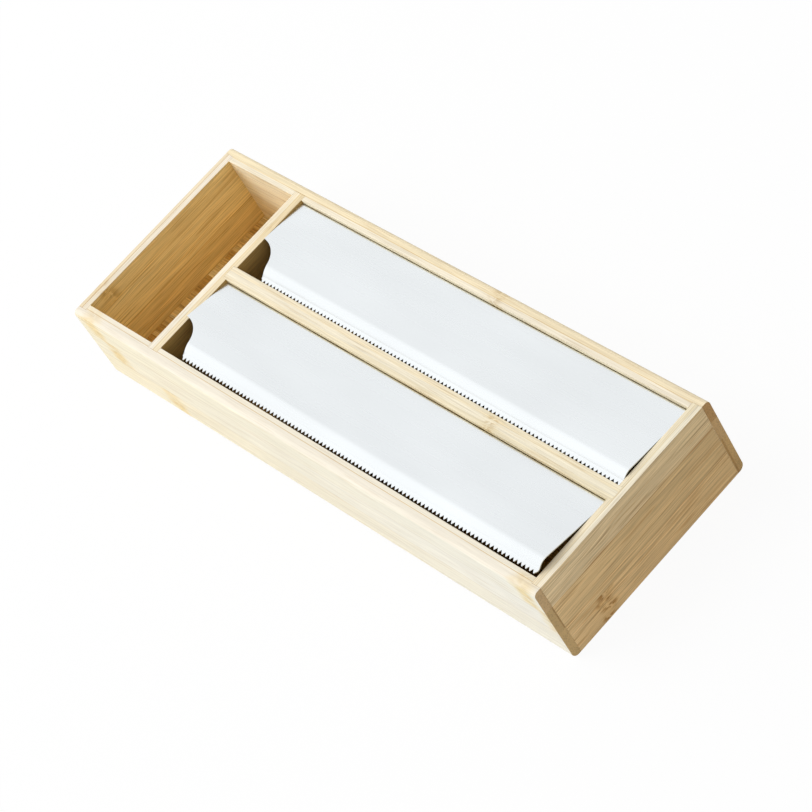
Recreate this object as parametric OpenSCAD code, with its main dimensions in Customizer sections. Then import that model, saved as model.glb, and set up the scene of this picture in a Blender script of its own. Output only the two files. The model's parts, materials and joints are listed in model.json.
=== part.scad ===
// Double cling film dispenser: a bamboo box with an open tray at its left end and two film bays,
// each under a hinged steel flap with a toothed front edge for tearing the film.
// Millimetres. +X runs from the tray to the right end, +Y from front to back, +Z up.
// The origin is the middle of the box, on the surface that it stands on.

/* [Box] */
// Overall length
box_l = 420; // [340:1:520]
// Overall width
box_w = 145; // [120:1:200]
// Overall height
box_h = 62; // [50:1:90]
// Clear length of the open tray
tray_l = 63; // [30:1:100]

/* [Boards] */
// Thickness of the front and back boards
long_board_t = 9.5; // [8:0.5:14]
// Thickness of the end boards
end_board_t = 7; // [6:0.5:12]
// Thickness of the board between the tray and the bays
cross_divider_t = 9; // [7:0.5:14]
// Thickness of the board between the two bays
centre_divider_t = 10; // [6:0.5:14]
// Thickness of the floor
base_t = 5; // [3:0.5:8]
// Height of the floor's underside above the table
base_lift = 3.5; // [1:0.5:8]
// Radius along the top outer edges of the long boards
top_round = 3; // [1:0.5:5]
// Radius along the bottom outer edges of the long boards
bottom_round = 4; // [1:0.5:5]

/* [Joinery] */
// Depth of the rebates that take the end boards
end_rebate = 4; // [3:0.5:6]
// Depth of the housings that take the cross divider
cross_housing = 3.5; // [3:0.5:6]
// Depth of the housings that take the centre divider
centre_housing = 3; // [2:0.5:4]
// Depth of the grooves that take the floor
base_groove = 3.5; // [2:0.5:4]

/* [Flaps] */
// Thickness of the sheet steel
sheet_t = 0.6; // [0.5:0.1:1]
// Upward tilt of the closed front flap, in degrees
front_tilt = 9; // [4:0.5:12]
// Upward tilt of the closed back flap, in degrees
back_tilt = 5; // [1:0.5:12]
// Outer radius of the rounded bend behind the toothed band
bend_r = 8; // [6:0.5:14]
// Angle through which that bend turns down
bend_angle = 58; // [40:1:70]
// Downward slope of the toothed band against the panel, in degrees
band_slope = 15; // [5:1:25]
// Length of the toothed band, from crease to tooth tip
band_l = 3.5; // [3:0.1:5]
// Clearance between a flap's ends and the boards there
flap_end_gap = 0.3; // [0.2:0.1:2]
// Clearance between the tooth tips and the wall where they pass it closest
tip_gap = 0.3; // [0.2:0.05:1]

/* [Teeth] */
// Distance from tooth to tooth, evened out so that whole teeth fill the edge
tooth_pitch = 3.2; // [2.4:0.1:5]
// Depth of the gaps between the teeth
tooth_depth = 2; // [1.2:0.1:3]
// Width of the flat on each tooth's tip
tooth_land = 0.3; // [0.1:0.1:0.6]

/* [Finger notch] */
// Radius of the notch at the flap's left end
notch_r = 22; // [15:1:35]
// Distance from the notch's centre to the flap's left end
notch_offset = 2; // [1:1:10]
// Flat between the notch and the nearest tooth
notch_flat = 0.6; // [0.3:0.1:2]

/* [Hinges] */
// Diameter of the hinge rods
rod_d = 1.6; // [1.5:0.1:3]
// Depth of the rods' axes below the rim
rod_drop = 3.6; // [3:0.1:6]
// Depth of the blind holes for the rods
rod_hole_depth = 4; // [3:0.5:5]
// Radial clearance of a rod in its holes
rod_fit = 0.03; // [0.01:0.01:0.1]
// Radial clearance of the rolled edge on its rod
curl_clearance = 0.06; // [0.04:0.01:0.1]
// How far the rolled edge wraps round its rod, in degrees
curl_wrap = 290; // [270:5:300]
// Clearance between a rolled edge and the board behind it
rear_gap = 0.4; // [0.3:0.05:1]

/* [Rest pins] */
// Diameter of the pins that carry the closed flaps
pin_d = 2.5; // [2:0.1:3]
// Distance from a hinge axis to its pins
pin_setback = 9; // [6:0.5:14]
// Length of a pin outside its board
pin_reach = 4; // [3:0.5:6]
// Depth of the blind holes for the pins
pin_hole_depth = 4; // [3:0.5:5]
// Clearance between a closed flap and its pins
pin_gap = 0.3; // [0.2:0.05:0.5]

/* [Hidden] */
$fn = 96;

// Extra length of a cutting shape past the face that it opens
past = 1;

// Inner faces of the boards
inner_x = box_l / 2 - end_board_t;
inner_y = box_w / 2 - long_board_t;
floor_z = base_lift + base_t;
cross_left_x = -inner_x + tray_l;
cross_right_x = cross_left_x + cross_divider_t;
bay_l = inner_x - cross_right_x;
bay_w = inner_y - centre_divider_t / 2;

// Hinge axes, each close in front of the board behind its flap
curl_inner_r = rod_d / 2 + curl_clearance;
curl_r = curl_inner_r + sheet_t;
hinge_inset = curl_r + rear_gap;
hinge_z = box_h - rod_drop;
front_hinge_y = -centre_divider_t / 2 - hinge_inset;
back_hinge_y = inner_y - hinge_inset;

// Flap section: forward run and drop from the end of the flat panel to the tooth tips
flap_l = bay_l - 2 * flap_end_gap;
bend_run = bend_r * sin(bend_angle);
bend_drop = bend_r * (1 - cos(bend_angle));
band_run = band_l * cos(band_slope);
band_drop = band_l * sin(band_slope);
tip_low = curl_r - bend_drop - band_drop - sheet_t / cos(band_slope);
tip_reach = bay_w - hinge_inset - tip_gap;
tip_u = sqrt(pow(tip_reach, 2) - pow(tip_low, 2));
panel_l = tip_u - bend_run - band_run;
root_u = tip_u - tooth_depth;

// Teeth run from the flap's right end to the flat beside the finger notch
notch_x = notch_r - notch_offset;
tooth_span = flap_l - notch_x - notch_flat;
tooth_count = round(tooth_span / tooth_pitch);
even_pitch = tooth_span / tooth_count;

bamboo = "#E2C48A";
bamboo_end = "#B98D52";
steel = "#DCE2E6";

// Block between two opposite corners
module block(low, high) {
    translate(low)
        cube(high - low);
}

// Waste outside a rounded corner, with the corner at the origin and the wood towards +X and +Y
module corner_waste(r) {
    difference() {
        translate([-past, -past])
            square(r + past);
        translate([r, r])
            circle(r);
    }
}

// Wedge between two directions, covering radius r
module wedge(r, from, to) {
    reach = 2 * r;
    polygon([
        [0, 0],
        for (a = [from, (from + to) / 2, to]) reach * [cos(a), sin(a)]
    ]);
}

// Section drawn forward and up, swept along +X with forward turned to -Y
module sweep_along_x(length) {
    rotate([90, 0, 90])
        linear_extrude(length)
            mirror([1, 0])
                children();
}

// Cylinder along +X
module bar_along_x(d, length) {
    rotate([0, 90, 0])
        cylinder(d = d, h = length);
}

// Blanks of the boards that are let into others: grow is the length past their open faces

module base_blank() {
    half = [inner_x + base_groove, inner_y + base_groove];
    block([-half.x, -half.y, base_lift], [half.x, half.y, floor_z]);
}

module end_blank(grow = 0) {
    half_y = inner_y + end_rebate;
    block([inner_x, -half_y, -grow], [box_l / 2 + grow, half_y, box_h + grow]);
}

module cross_blank(grow = 0) {
    half_y = inner_y + cross_housing;
    block([cross_left_x, -half_y, floor_z], [cross_right_x, half_y, box_h + grow]);
}

module centre_blank(grow = 0) {
    half_y = centre_divider_t / 2;
    block(
        [cross_right_x - centre_housing, -half_y, floor_z],
        [inner_x + centre_housing, half_y, box_h + grow]
    );
}

// Long board at the front, with rounded outer edges, end rebates, divider housing and floor groove
module long_board() {
    difference() {
        translate([-box_l / 2, -inner_y, 0])
            sweep_along_x(box_l)
                long_board_section();
        end_blank(past);
        mirror([1, 0, 0])
            end_blank(past);
        cross_blank(past);
        base_blank();
    }
}

module long_board_section() {
    difference() {
        square([long_board_t, box_h]);
        translate([long_board_t, box_h])
            rotate(180)
                corner_waste(top_round);
        translate([long_board_t, 0])
            mirror([1, 0])
                corner_waste(bottom_round);
    }
}

// Hinge rods lie along the bays, with their ends in the boards there
module hinge_rod(y, fit = 0) {
    translate([cross_right_x - rod_hole_depth, y, hinge_z])
        bar_along_x(rod_d + 2 * fit, bay_l + 2 * rod_hole_depth);
}

module hinge_rods(fit = 0) {
    hinge_rod(front_hinge_y, fit);
    hinge_rod(back_hinge_y, fit);
}

// Rest pins stand out of the boards at both ends of a bay, just under the closed flap's panel
module bay_pins(hinge_y, tilt) {
    pin_w = curl_r - sheet_t - pin_gap - pin_d / 2;
    y = hinge_y - pin_setback * cos(tilt) + pin_w * sin(tilt);
    z = hinge_z + pin_setback * sin(tilt) + pin_w * cos(tilt);
    for (x = [cross_right_x - pin_hole_depth, inner_x - pin_reach])
        translate([x, y, z])
            bar_along_x(pin_d, pin_hole_depth + pin_reach);
}

module rest_pins() {
    bay_pins(front_hinge_y, front_tilt);
    bay_pins(back_hinge_y, back_tilt);
}

// Rolled rear edge, open below the panel
module curl() {
    difference() {
        circle(curl_r);
        circle(curl_inner_r);
        wedge(curl_r, curl_wrap - 270, 90);
    }
}

// All that lies under one face of the sheet, a given depth below its upper face: the flat panel, the
// rounded bend and the toothed band
module under_face(depth) {
    far = 2 * bend_r;
    translate([-past, -far])
        square([past + panel_l, far + curl_r - depth]);
    translate([panel_l, curl_r - bend_r])
        circle(bend_r - depth);
    translate([panel_l + bend_run, curl_r - bend_drop])
        rotate(-band_slope)
            translate([-bend_r, -far - depth])
                square([bend_r + far, far]);
}

// Flap section, forward and up from the hinge axis
module flap_section() {
    curl();
    intersection() {
        difference() {
            under_face(0);
            under_face(sheet_t);
        }
        translate([0, tip_low - past])
            square([tip_u + past, curl_r - tip_low + 2 * past]);
    }
}

// Flap seen from above: right along the length and forward from the hinge axis
module flap_plan() {
    rear_u = -2 * curl_r;
    difference() {
        polygon([
            [-past, root_u],
            [-past, rear_u],
            [flap_l + past, rear_u],
            [flap_l + past, root_u],
            for (i = [0 : tooth_count - 1])
                let (right = flap_l - i * even_pitch, mid = right - even_pitch / 2)
                    each [[right, root_u], [mid + tooth_land / 2, tip_u], [mid - tooth_land / 2, tip_u]],
            [flap_l - tooth_span, root_u]
        ]);
        translate([-notch_offset, root_u])
            circle(notch_r);
    }
}

module flap(hinge_y, tilt) {
    half_h = bend_r + curl_r;
    translate([cross_right_x + flap_end_gap, hinge_y, hinge_z])
        rotate([-tilt, 0, 0])
            intersection() {
                sweep_along_x(flap_l)
                    flap_section();
                translate([0, 0, -half_h])
                    linear_extrude(2 * half_h)
                        mirror([0, 1])
                            flap_plan();
            }
}

// Sub-parts

module base_panel() {
    color(bamboo)
        base_blank();
}

module front_board() {
    color(bamboo)
        long_board();
}

module back_board() {
    color(bamboo)
        mirror([0, 1, 0])
            long_board();
}

module left_end_board() {
    color(bamboo_end)
        difference() {
            mirror([1, 0, 0])
                end_blank();
            base_blank();
        }
}

module right_end_board() {
    color(bamboo_end)
        difference() {
            end_blank();
            base_blank();
            centre_blank(past);
            hinge_rods(rod_fit);
            rest_pins();
        }
}

module cross_divider() {
    color(bamboo)
        difference() {
            cross_blank();
            centre_blank(past);
            hinge_rods(rod_fit);
            rest_pins();
        }
}

module centre_divider() {
    color(bamboo)
        centre_blank();
}

module front_hinge_rod() {
    color(steel)
        hinge_rod(front_hinge_y);
}

module back_hinge_rod() {
    color(steel)
        hinge_rod(back_hinge_y);
}

module flap_rest_pins() {
    color(steel)
        rest_pins();
}

module front_flap() {
    color(steel)
        flap(front_hinge_y, front_tilt);
}

module back_flap() {
    color(steel)
        flap(back_hinge_y, back_tilt);
}

base_panel();
front_board();
back_board();
left_end_board();
right_end_board();
cross_divider();
centre_divider();
front_hinge_rod();
back_hinge_rod();
flap_rest_pins();
front_flap();
back_flap();
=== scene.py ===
import json
import math
import random

import bmesh
import bpy
from bpy.props import FloatProperty, FloatVectorProperty, PointerProperty
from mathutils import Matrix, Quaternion, Vector


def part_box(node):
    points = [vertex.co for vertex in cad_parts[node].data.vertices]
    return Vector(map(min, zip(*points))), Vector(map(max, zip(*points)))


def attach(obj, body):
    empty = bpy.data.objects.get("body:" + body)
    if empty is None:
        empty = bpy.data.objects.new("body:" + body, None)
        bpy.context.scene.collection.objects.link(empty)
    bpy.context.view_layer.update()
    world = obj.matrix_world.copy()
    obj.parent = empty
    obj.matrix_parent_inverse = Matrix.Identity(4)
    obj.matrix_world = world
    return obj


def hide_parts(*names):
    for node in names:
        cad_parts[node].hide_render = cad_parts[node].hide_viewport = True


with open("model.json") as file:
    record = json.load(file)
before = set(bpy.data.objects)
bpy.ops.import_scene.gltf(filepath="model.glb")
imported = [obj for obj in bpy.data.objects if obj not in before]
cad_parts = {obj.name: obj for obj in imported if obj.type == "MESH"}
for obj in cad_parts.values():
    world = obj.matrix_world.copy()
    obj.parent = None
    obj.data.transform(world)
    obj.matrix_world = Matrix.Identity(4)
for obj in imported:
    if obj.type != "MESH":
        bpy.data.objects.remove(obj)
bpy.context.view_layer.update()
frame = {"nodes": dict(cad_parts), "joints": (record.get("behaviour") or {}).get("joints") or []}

bl_info = {
    "name": "Double cling film dispenser",
    "version": (1, 0, 0),
    "blender": (4, 5, 0),
    "location": "3D View > Sidebar > Dispenser",
    "description": "Looks of a bamboo box with two toothed steel flaps, built round its CAD model",
    "category": "Object",
}

MM = 0.001
HINGES = {joint["child"]: Vector(joint["pos_m"]) for joint in frame["joints"]}

# Both flaps are equally long, and their hinges are at one height, here in millimetres
FLAP_LOW, FLAP_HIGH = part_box("front_flap")
HINGE_Z = HINGES["front_flap"].z / MM


def span(name, axis):
    """Low and high end of a CAD node along an axis, in millimetres."""
    i = "XYZ".index(axis)
    return tuple(corner[i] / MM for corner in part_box(name))


# Each board, in millimetres: its grain, across and through axes, how far apart a strip's knuckles are,
# and the tones of its strips and plies. A strip is its lower edge, its tone and the place of one of its
# knuckles along the grain. A ply is its near side and its tone, seen on the narrow edges. Drift and rim
# are tones at both ends of the grain, on the broad faces and on the narrow edges, and sides names the
# colours of the low and the high broad face. Some of these tones are painted light and shade: the pale
# front face and the narrow edges are painted light, the front's drift is painted light that falls off to
# the right, and the darker tones of the bays and of the floor's right end are painted shade. Ends are
# tones of the strips' sawn ends, each with the strength of the dark joint there, and joint is that
# joint's place through the board. Figure is the strength of the grain, halo that of the warm stain round
# a knuckle, knot that of the knuckle, and rub that of the painted shade beside a flap's rolled
# edge, where the gap behind it lies in shade. Ease says which arrises are eased: all of them, or those
# of the board's outline.
BOARDS = {
    "front_board": {
        # Its pale front face is painted light, where the key light falls on it
        "axes": "XZY", "knuckles": 394, "sides": ("pale", "inner"),
        "strips": [(0, "#FFFDF8", -139), (24, "#FFFFFF", -183), (44, "#FFFFFD", 199)],
        "plies": [(-72.5, "#FFFFFF"), (-66.4, "#EBD8B6"), (-66.0, "#FFFFFC")],
        # Drift: warmer at the left end and cooler at the right, painted light that falls off towards the
        # right
        "drift": ("#FAF9E9", "#F8FEFF"), "rim": ("#FBFAF6", "#FFFFFC"),
        "ends": [("#FAFAF2", 0.0), ("#F1F1E8", 0.5), ("#FAFAFF", 0.15)], "joint": -67.3,
        "figure": 0.4, "halo": 0.9, "knot": 0.2, "ease": "all",
    },
    "back_board": {
        "axes": "XZY", "knuckles": 420, "sides": ("inner", "cream"),
        "strips": [(0, "#FBF6EC", 96), (31, "#FFFFFF", -70), (47, "#FFFFFF", 45)],
        "plies": [(63, "#FFFFFF"), (66.4, "#F2E2C2"), (66.8, "#FFF9EA")],
        "drift": ("#FFFFFF", "#FFFFFF"), "rim": ("#FFFCF0", "#FFFCF2"),
        "ends": [("#F6EFDA", 0.55), ("#F4EEE4", 0.1), ("#E0CFB3", 0.0)], "joint": 68.0,
        # The strength of painted shade on this board's front, in the gap behind the back flap's rolled edge
        "figure": 0.7, "halo": 0.3, "knot": 0.6, "rub": 0.75, "ease": "all",
    },
    "left_end_board": {
        "axes": "YZX", "knuckles": 230, "sides": ("cream", "honey"),
        "strips": [
            (0, "#FAF6F0", 120), (9.3, "#FAF6F0", 120), (28.4, "#FFFFFF", -150), (49.2, "#FBF8F2", -49)],
        "plies": [(-210, "#FAF4E6"), (-207.4, "#D2B78C"), (-207.0, "#FFFFFF")],
        "drift": ("#FFFFFF", "#FFFFFF"), "rim": ("#F6F1E6", "#FBF8F2"),
        "figure": 0.85, "halo": 0.3, "knot": 0.5, "ease": "outline",
    },
    "right_end_board": {
        "axes": "YZX", "knuckles": 230, "sides": ("inner", "tan"),
        "strips": [(0, "#FBF6EA", -40), (19.6, "#EEEADE", 112), (43.6, "#F5FAFF", -118)],
        "plies": [(203, "#FBF6EA"), (206.4, "#EFE0BC"), (206.7, "#FFFEFA")],
        "drift": ("#FFFFFF", "#F7F5F0"), "rim": ("#FEFBF2", "#FCFCF4"),
        "figure": 1.0, "halo": 0.3, "knot": 1.0, "ease": "outline",
    },
    "cross_divider": {
        # Its side towards the bays is darkened with painted shade, where the bays lie in shade under the
        # flaps
        "axes": "YZX", "knuckles": 226, "sides": ("honey", "painted_bay_shade"),
        "strips": [(8.5, "#FBF6EC", 90), (26, "#FFFFFF", -95), (45, "#FBF7F0", 40)],
        "plies": [(-140, "#FFFEF8"), (-135.6, "#F0DDB6"), (-135.2, "#F8F0DA")],
        "drift": ("#FFFFFF", "#FFFFFF"), "rim": ("#FFFFFF", "#FFFAEE"),
        "figure": 0.8, "halo": 0.2, "knot": 0.3, "ease": "outline",
    },
    "centre_divider": {
        "axes": "XZY", "knuckles": 340, "sides": ("inner", "inner"),
        # Its two lower strips are darkened with painted shade, deep in the bays under the flaps
        "strips": [(8.5, "#D9C9A4", 20), (27, "#DDD0AE", -60), (46, "#FAF6EC", 103)],
        "plies": [(-5, "#FFFCF4"), (-2.2, "#FFFFFF"), (1.4, "#FFFAF0"), (3.2, "#FFFDF8")],
        "drift": ("#FFFFFF", "#FFFFFF"), "rim": ("#FBF8EC", "#FDFBEE"),
        # The strength of painted shade on this board's front, in the gap behind the front flap's rolled
        # edge
        "figure": 0.9, "halo": 0.3, "knot": 0.7, "rub": 1.0, "ease": "outline",
    },
}
UPRIGHTS = tuple(BOARDS)

# The floor is pressed from 31 narrow strips on edge, uneven in width and tone. Every third of the sorted
# draws is a cut, so that few strips are very narrow.
FLOOR_FRONT, FLOOR_BACK = span("base_panel", "Y")
FLOOR_TONES = ("#FFFCF6", "#EEDDBA", "#F8EDD6", "#D8BE8C")
FLOOR_DRAWS = 90
FLOOR_DRAW = random.Random(5)
FLOOR_CUTS = sorted(FLOOR_DRAW.uniform(FLOOR_FRONT, FLOOR_BACK) for _ in range(FLOOR_DRAWS))[1::3]
BOARDS["base_panel"] = {
    "axes": "XYZ", "knuckles": 205, "sides": ("honey", "honey"),
    "strips": [
        (cut, FLOOR_DRAW.choice(FLOOR_TONES), FLOOR_DRAW.uniform(-100, 100))
        for cut in [FLOOR_FRONT] + FLOOR_CUTS
    ],
    "plies": [(3.5, "#FFFFFF"), (6, "#FFFCF6")],
    # Drift darkens the floor towards its right end with painted shade, inside the bays under the flaps
    "drift": ("#FFFFFF", "#D8C49C"), "rim": ("#FFFFFF", "#FFFFFF"),
    "figure": 1.0, "halo": 0.2, "knot": 0.3,
}


def linear(colour):
    """Linear red, green, blue and alpha of an sRGB hex colour."""
    channels = [int(colour[i:i + 2], 16) / 255 for i in (1, 3, 5)]
    return tuple(c / 12.92 if c <= 0.04045 else ((c + 0.055) / 1.055) ** 2.4 for c in channels) + (1.0,)


# Nodes that recur: arithmetic, a change of range and a mix of two colours. Then settings of the last two:
# a soft start and end, a plain blend, and one colour tinted by the other.
MATH, RANGE, MIX = "ShaderNodeMath", "ShaderNodeMapRange", "ShaderNodeMix"
SOFT = {"interpolation_type": "SMOOTHSTEP"}
BLEND, TINT = {"data_type": "RGBA"}, {"data_type": "RGBA", "blend_type": "MULTIPLY"}


def add(tree, kind, *values, named=None, stops=None, **settings):
    """Add a node with its settings, fill or link its inputs in order or by name, and set its ramp."""
    made = tree.nodes.new(kind)
    for field, value in settings.items():
        setattr(made, field, value)
    in_use = [socket for socket in made.inputs if socket.enabled]
    by_name = [(made.inputs[name], value) for name, value in (named or {}).items()]
    for socket, value in list(zip(in_use, values)) + by_name:
        if isinstance(value, bpy.types.Node):
            value = next(output for output in value.outputs if output.enabled)
        if isinstance(value, bpy.types.NodeSocket):
            tree.links.new(value, socket)
        else:
            socket.default_value = value
    for i, (place, colour) in enumerate(stops or ()):
        elements = made.color_ramp.elements
        stop = elements[i] if i < 2 else elements.new(place)
        stop.position, stop.color = place, colour
    return made


def millimetres(tree):
    """Place on the piece in millimetres."""
    place = add(tree, "ShaderNodeTexCoord").outputs["Object"]
    return add(tree, "ShaderNodeVectorMath", place, 1 / MM, operation="SCALE")


def blotches(tree, place, sizes, detail, roughness=0.5, seed=None):
    """Pattern of blotches of these sizes in millimetres, drawn anew for each seed."""
    scaled = add(tree, "ShaderNodeMapping", named={
        "Vector": place, "Scale": tuple(1 / size for size in sizes)})
    look = {"Vector": scaled, "Scale": 1.0, "Detail": detail, "Roughness": roughness}
    if seed is None:
        return add(tree, "ShaderNodeTexNoise", named=look)
    return add(tree, "ShaderNodeTexNoise", named={**look, "W": seed}, noise_dimensions="4D")


def fresh_material(name):
    """Empty node material, and its tree."""
    material = bpy.data.materials.new(name)
    material.use_nodes = True
    material.node_tree.nodes.clear()
    return material, material.node_tree


def show_mesh(name, mesh, material):
    """Object at the origin that shows a mesh in one material."""
    piece = bpy.data.objects.new(name, mesh)
    bpy.context.scene.collection.objects.link(piece)
    mesh.materials.clear()
    mesh.materials.append(material)
    return piece


def baked_mesh(piece, name):
    """Plain mesh of an object as its modifiers leave it, with the modifiers taken off."""
    seen = piece.evaluated_get(bpy.context.evaluated_depsgraph_get())
    mesh = bpy.data.meshes.new_from_object(seen)
    mesh.name = name
    piece.modifiers.clear()
    return mesh


# Figure of the bamboo, in millimetres along, across and through the grain. Real fibres are about a
# third as wide, too fine to show.
FIBRE, BAND = (34, 0.55, 0.55), (90, 6, 6)
BUNDLE, DRIFT = (30, 0.8, 0.8), (50, 8, 8)
WAVE, WAVE_PATCH = (50, 12, 12), (90, 20, 20)
KNUCKLE_BEND, HALO_CLOUD, FLECK = (40, 5, 5), (14, 6, 6), (7, 1.3, 1.3)

# Most of a noise lies in the first range. In the others a mark begins and is full.
NOISE_RANGE = (0.3, 0.7)
PATCH_RANGE, BUNDLE_RANGE, CLOUD_RANGE = (0.45, 0.75), (0.72, 0.86), (0.3, 0.6)
FLECK_RANGE, GLUE_RANGE, PORE_RANGE = (0.44, 0.58), (0.35, 0.65), (0.1, 0.45)

# Sizes in millimetres: how far a knuckle strays at most, a glue line's flank and a pore
KNUCKLE_STRAY, GLUE_FLANK, PORE = 9.0, 0.35, 1.3

# Distances in millimetres over which a mark fades: from a knuckle its halo, its flecks and the pale ridge
# between them, from a hinge the painted shade in the gap behind a flap, and from the joint in a sawn end
# its dark line
HALO_FADE, FLECK_FADE, RIDGE_FADE = (2.0, 12.0), (1.5, 8.0), (0.3, 1.2)
GAP_SHADE_FADE, JOINT_FADE = (0.4, 1.1), (0.3, 0.8)

# Cosines of a face's turn, over which it goes into a narrow edge, into a sawn end and from one side to
# the other, and the one below which it is a front face
EDGE_TURN, END_TURN, SIDE_TURN = (0.3, 0.75), (0.5, 0.9), (-0.4, 0.4)
FRONT_TURN = -0.5

# Strength of the fibres' wave outside and inside a patch, and how far drifts gather the bundles
CALM_WAVE, PATCH_WAVE, DRIFT_SHARE = 2.0, 9.0, 0.35

# How far fibres and bands lighten and darken the wood, and the share of its figure that shows on narrow
# edges
FIBRE_DEPTH, BAND_DEPTH, EDGE_FIGURE = 0.34, 0.07, 0.6

# Full strength of each stain, the faintest parts of halo and glue, and the tone of a pore
BUNDLE_STAIN, HALO_STAIN, FLECK_STAIN, GLUE_STAIN, ARRIS_STAIN = 0.5, 0.7, 0.9, 0.8, 0.12
HALO_FAINT, GLUE_FAINT, PORE_TONE = 0.35, 0.5, 0.74

# Skin of the wood: roughness of dark and of light fibres, index and share of its shine, and relief
WOOD_GLOSS, WOOD_IOR, WOOD_SHINE = (0.62, 0.5), 1.5, 0.3
RELIEF, RELIEF_DEPTH = 0.5, 0.05 * MM

# A colour ramp holds 32 stops, and a glue line takes three of them
GLUE_LINES = 10

# Sets the noises of one strip apart from those of the next
SEED_SPREAD = 31.0


class Cane:
    """Nodes that a board's bamboo reads: place and facing along its grain, across it and through."""

    def __init__(self, name):
        self.board = BOARDS[name]
        self.material, self.tree = fresh_material("sanded_bamboo_" + name)
        tree, axes = self.tree, self.board["axes"]
        self.grain_span, self.across_span, self.through_span = (span(name, axis) for axis in axes)
        self.place = millimetres(tree)
        spot = add(tree, "ShaderNodeSeparateXYZ", self.place)
        self.grain, self.across, self.through = (spot.outputs[axis] for axis in axes)
        facing = add(tree, "ShaderNodeSeparateXYZ", add(tree, "ShaderNodeTexCoord").outputs["Normal"])
        to_grain, to_across, self.to_through = (facing.outputs[axis] for axis in axes)

        # How far a face is a narrow edge, and how far a sawn end
        edgeward = add(tree, MATH, to_across, operation="ABSOLUTE")
        self.on_edge = add(tree, RANGE, edgeward, *EDGE_TURN, **SOFT)
        endward = add(tree, MATH, to_grain, operation="ABSOLUTE")
        self.on_end = add(tree, RANGE, endward, *END_TURN, **SOFT)

        # A strip's tone is in the ramp's colour, and the place of its knuckle is in the ramp's alpha
        spacing = self.board["knuckles"]
        self.strips = self.flat_tones(self.across, self.across_span, [
            (edge, linear(tone)[:3] + ((0.5 - knuckle / spacing) % 1.0,))
            for edge, tone, knuckle in self.board["strips"]
        ])
        self.phase = self.strips.outputs["Alpha"]
        self.seed = add(tree, MATH, self.phase, SEED_SPREAD, operation="MULTIPLY")
        self.straight = add(tree, "ShaderNodeCombineXYZ", self.grain, self.across, self.through)
        self.waved = add(tree, "ShaderNodeCombineXYZ", self.grain, self.wave(), self.through)

    def flat_tones(self, value, limits, stops):
        """Ramp of flat tones, each from its place on."""
        low, high = limits
        share = add(self.tree, RANGE, value, low, high)
        shares = [((place - low) / (high - low), tone) for place, tone in stops]
        ramp = add(self.tree, "ShaderNodeValToRGB", share, stops=shares)
        ramp.color_ramp.interpolation = "CONSTANT"
        return ramp

    def figure(self, place, sizes, detail, roughness=0.55):
        """Blotches that differ from strip to strip."""
        return blotches(self.tree, place, sizes, detail, roughness, self.seed)

    def wave(self):
        """Place across the board, waved by a millimetre or two in patches of the broad faces."""
        patch = self.figure(self.straight, WAVE_PATCH, detail=1.0)
        width = add(self.tree, RANGE, patch, *PATCH_RANGE, CALM_WAVE, PATCH_WAVE, **SOFT)
        on_broad = add(self.tree, RANGE, self.on_edge, 0.0, 1.0, width, 0.0)
        sway = self.figure(self.straight, WAVE, detail=1.0)
        swing = add(self.tree, MATH, sway, 0.5, operation="SUBTRACT")
        return add(self.tree, MATH, swing, on_broad, self.across, operation="MULTIPLY_ADD")


def dark_bundles(cane):
    """Dark bundles of fibres: short lines that lie in drifts."""
    lines = cane.figure(cane.waved, BUNDLE, detail=1.0)
    drifts = cane.figure(cane.straight, DRIFT, detail=1.0)
    gathered = add(cane.tree, MATH, drifts, DRIFT_SHARE, lines, operation="MULTIPLY_ADD")
    return add(cane.tree, RANGE, gathered, *BUNDLE_RANGE, **SOFT)


def knuckles(cane):
    """Warm halo round each strip's knuckle, and the dark flecks on both sides of its pale ridge."""
    tree, spacing = cane.tree, cane.board["knuckles"]
    turns = add(tree, MATH, cane.grain, 1 / spacing, cane.phase, operation="MULTIPLY_ADD")
    turn = add(tree, MATH, turns, operation="FRACT")
    from_knuckle = add(tree, MATH, turn, 0.5, operation="SUBTRACT")
    bend = cane.figure(cane.straight, KNUCKLE_BEND, detail=2.0)
    stray = add(tree, RANGE, bend, 0.0, 1.0, -KNUCKLE_STRAY, KNUCKLE_STRAY)
    off = add(tree, MATH, from_knuckle, spacing, stray, operation="MULTIPLY_ADD")
    reach = add(tree, MATH, off, operation="ABSOLUTE")

    clouds = cane.figure(cane.straight, HALO_CLOUD, detail=2.0)
    cloud = add(tree, RANGE, clouds, *CLOUD_RANGE, HALO_FAINT, 1.0, **SOFT)
    around = add(tree, RANGE, reach, *HALO_FADE, 1.0, 0.0, **SOFT)
    halo = add(tree, MATH, around, cloud, operation="MULTIPLY")

    off_ridge = add(tree, RANGE, reach, *RIDGE_FADE, **SOFT)
    near = add(tree, RANGE, reach, *FLECK_FADE, 1.0, 0.0, **SOFT)
    beside = add(tree, MATH, off_ridge, near, operation="MULTIPLY")
    specks = add(tree, RANGE, cane.figure(cane.waved, FLECK, detail=2.0), *FLECK_RANGE, **SOFT)
    return halo, add(tree, MATH, specks, beside, operation="MULTIPLY")


def glue_lines(cane, bands):
    """Glue between the strips, about half a millimetre wide, stronger and weaker along the board."""
    tree, (low, high) = cane.tree, cane.across_span
    flank = GLUE_FLANK / (high - low)
    dark, bright = (0, 0, 0, 1), (1, 1, 1, 1)
    stops = [(0.0, dark)]
    for edge, tone, knuckle in cane.board["strips"][1:GLUE_LINES + 1]:
        line = (edge - low) / (high - low)
        stops += [(line - 2 * flank, dark), (line, bright), (line + flank, dark)]
    share = add(tree, RANGE, cane.across, low, high)
    glue = add(tree, "ShaderNodeValToRGB", share, stops=stops)
    strength = add(tree, RANGE, bands, *GLUE_RANGE, GLUE_FAINT, 1.0, **SOFT)
    return add(tree, MATH, glue, strength, operation="MULTIPLY")


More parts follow.
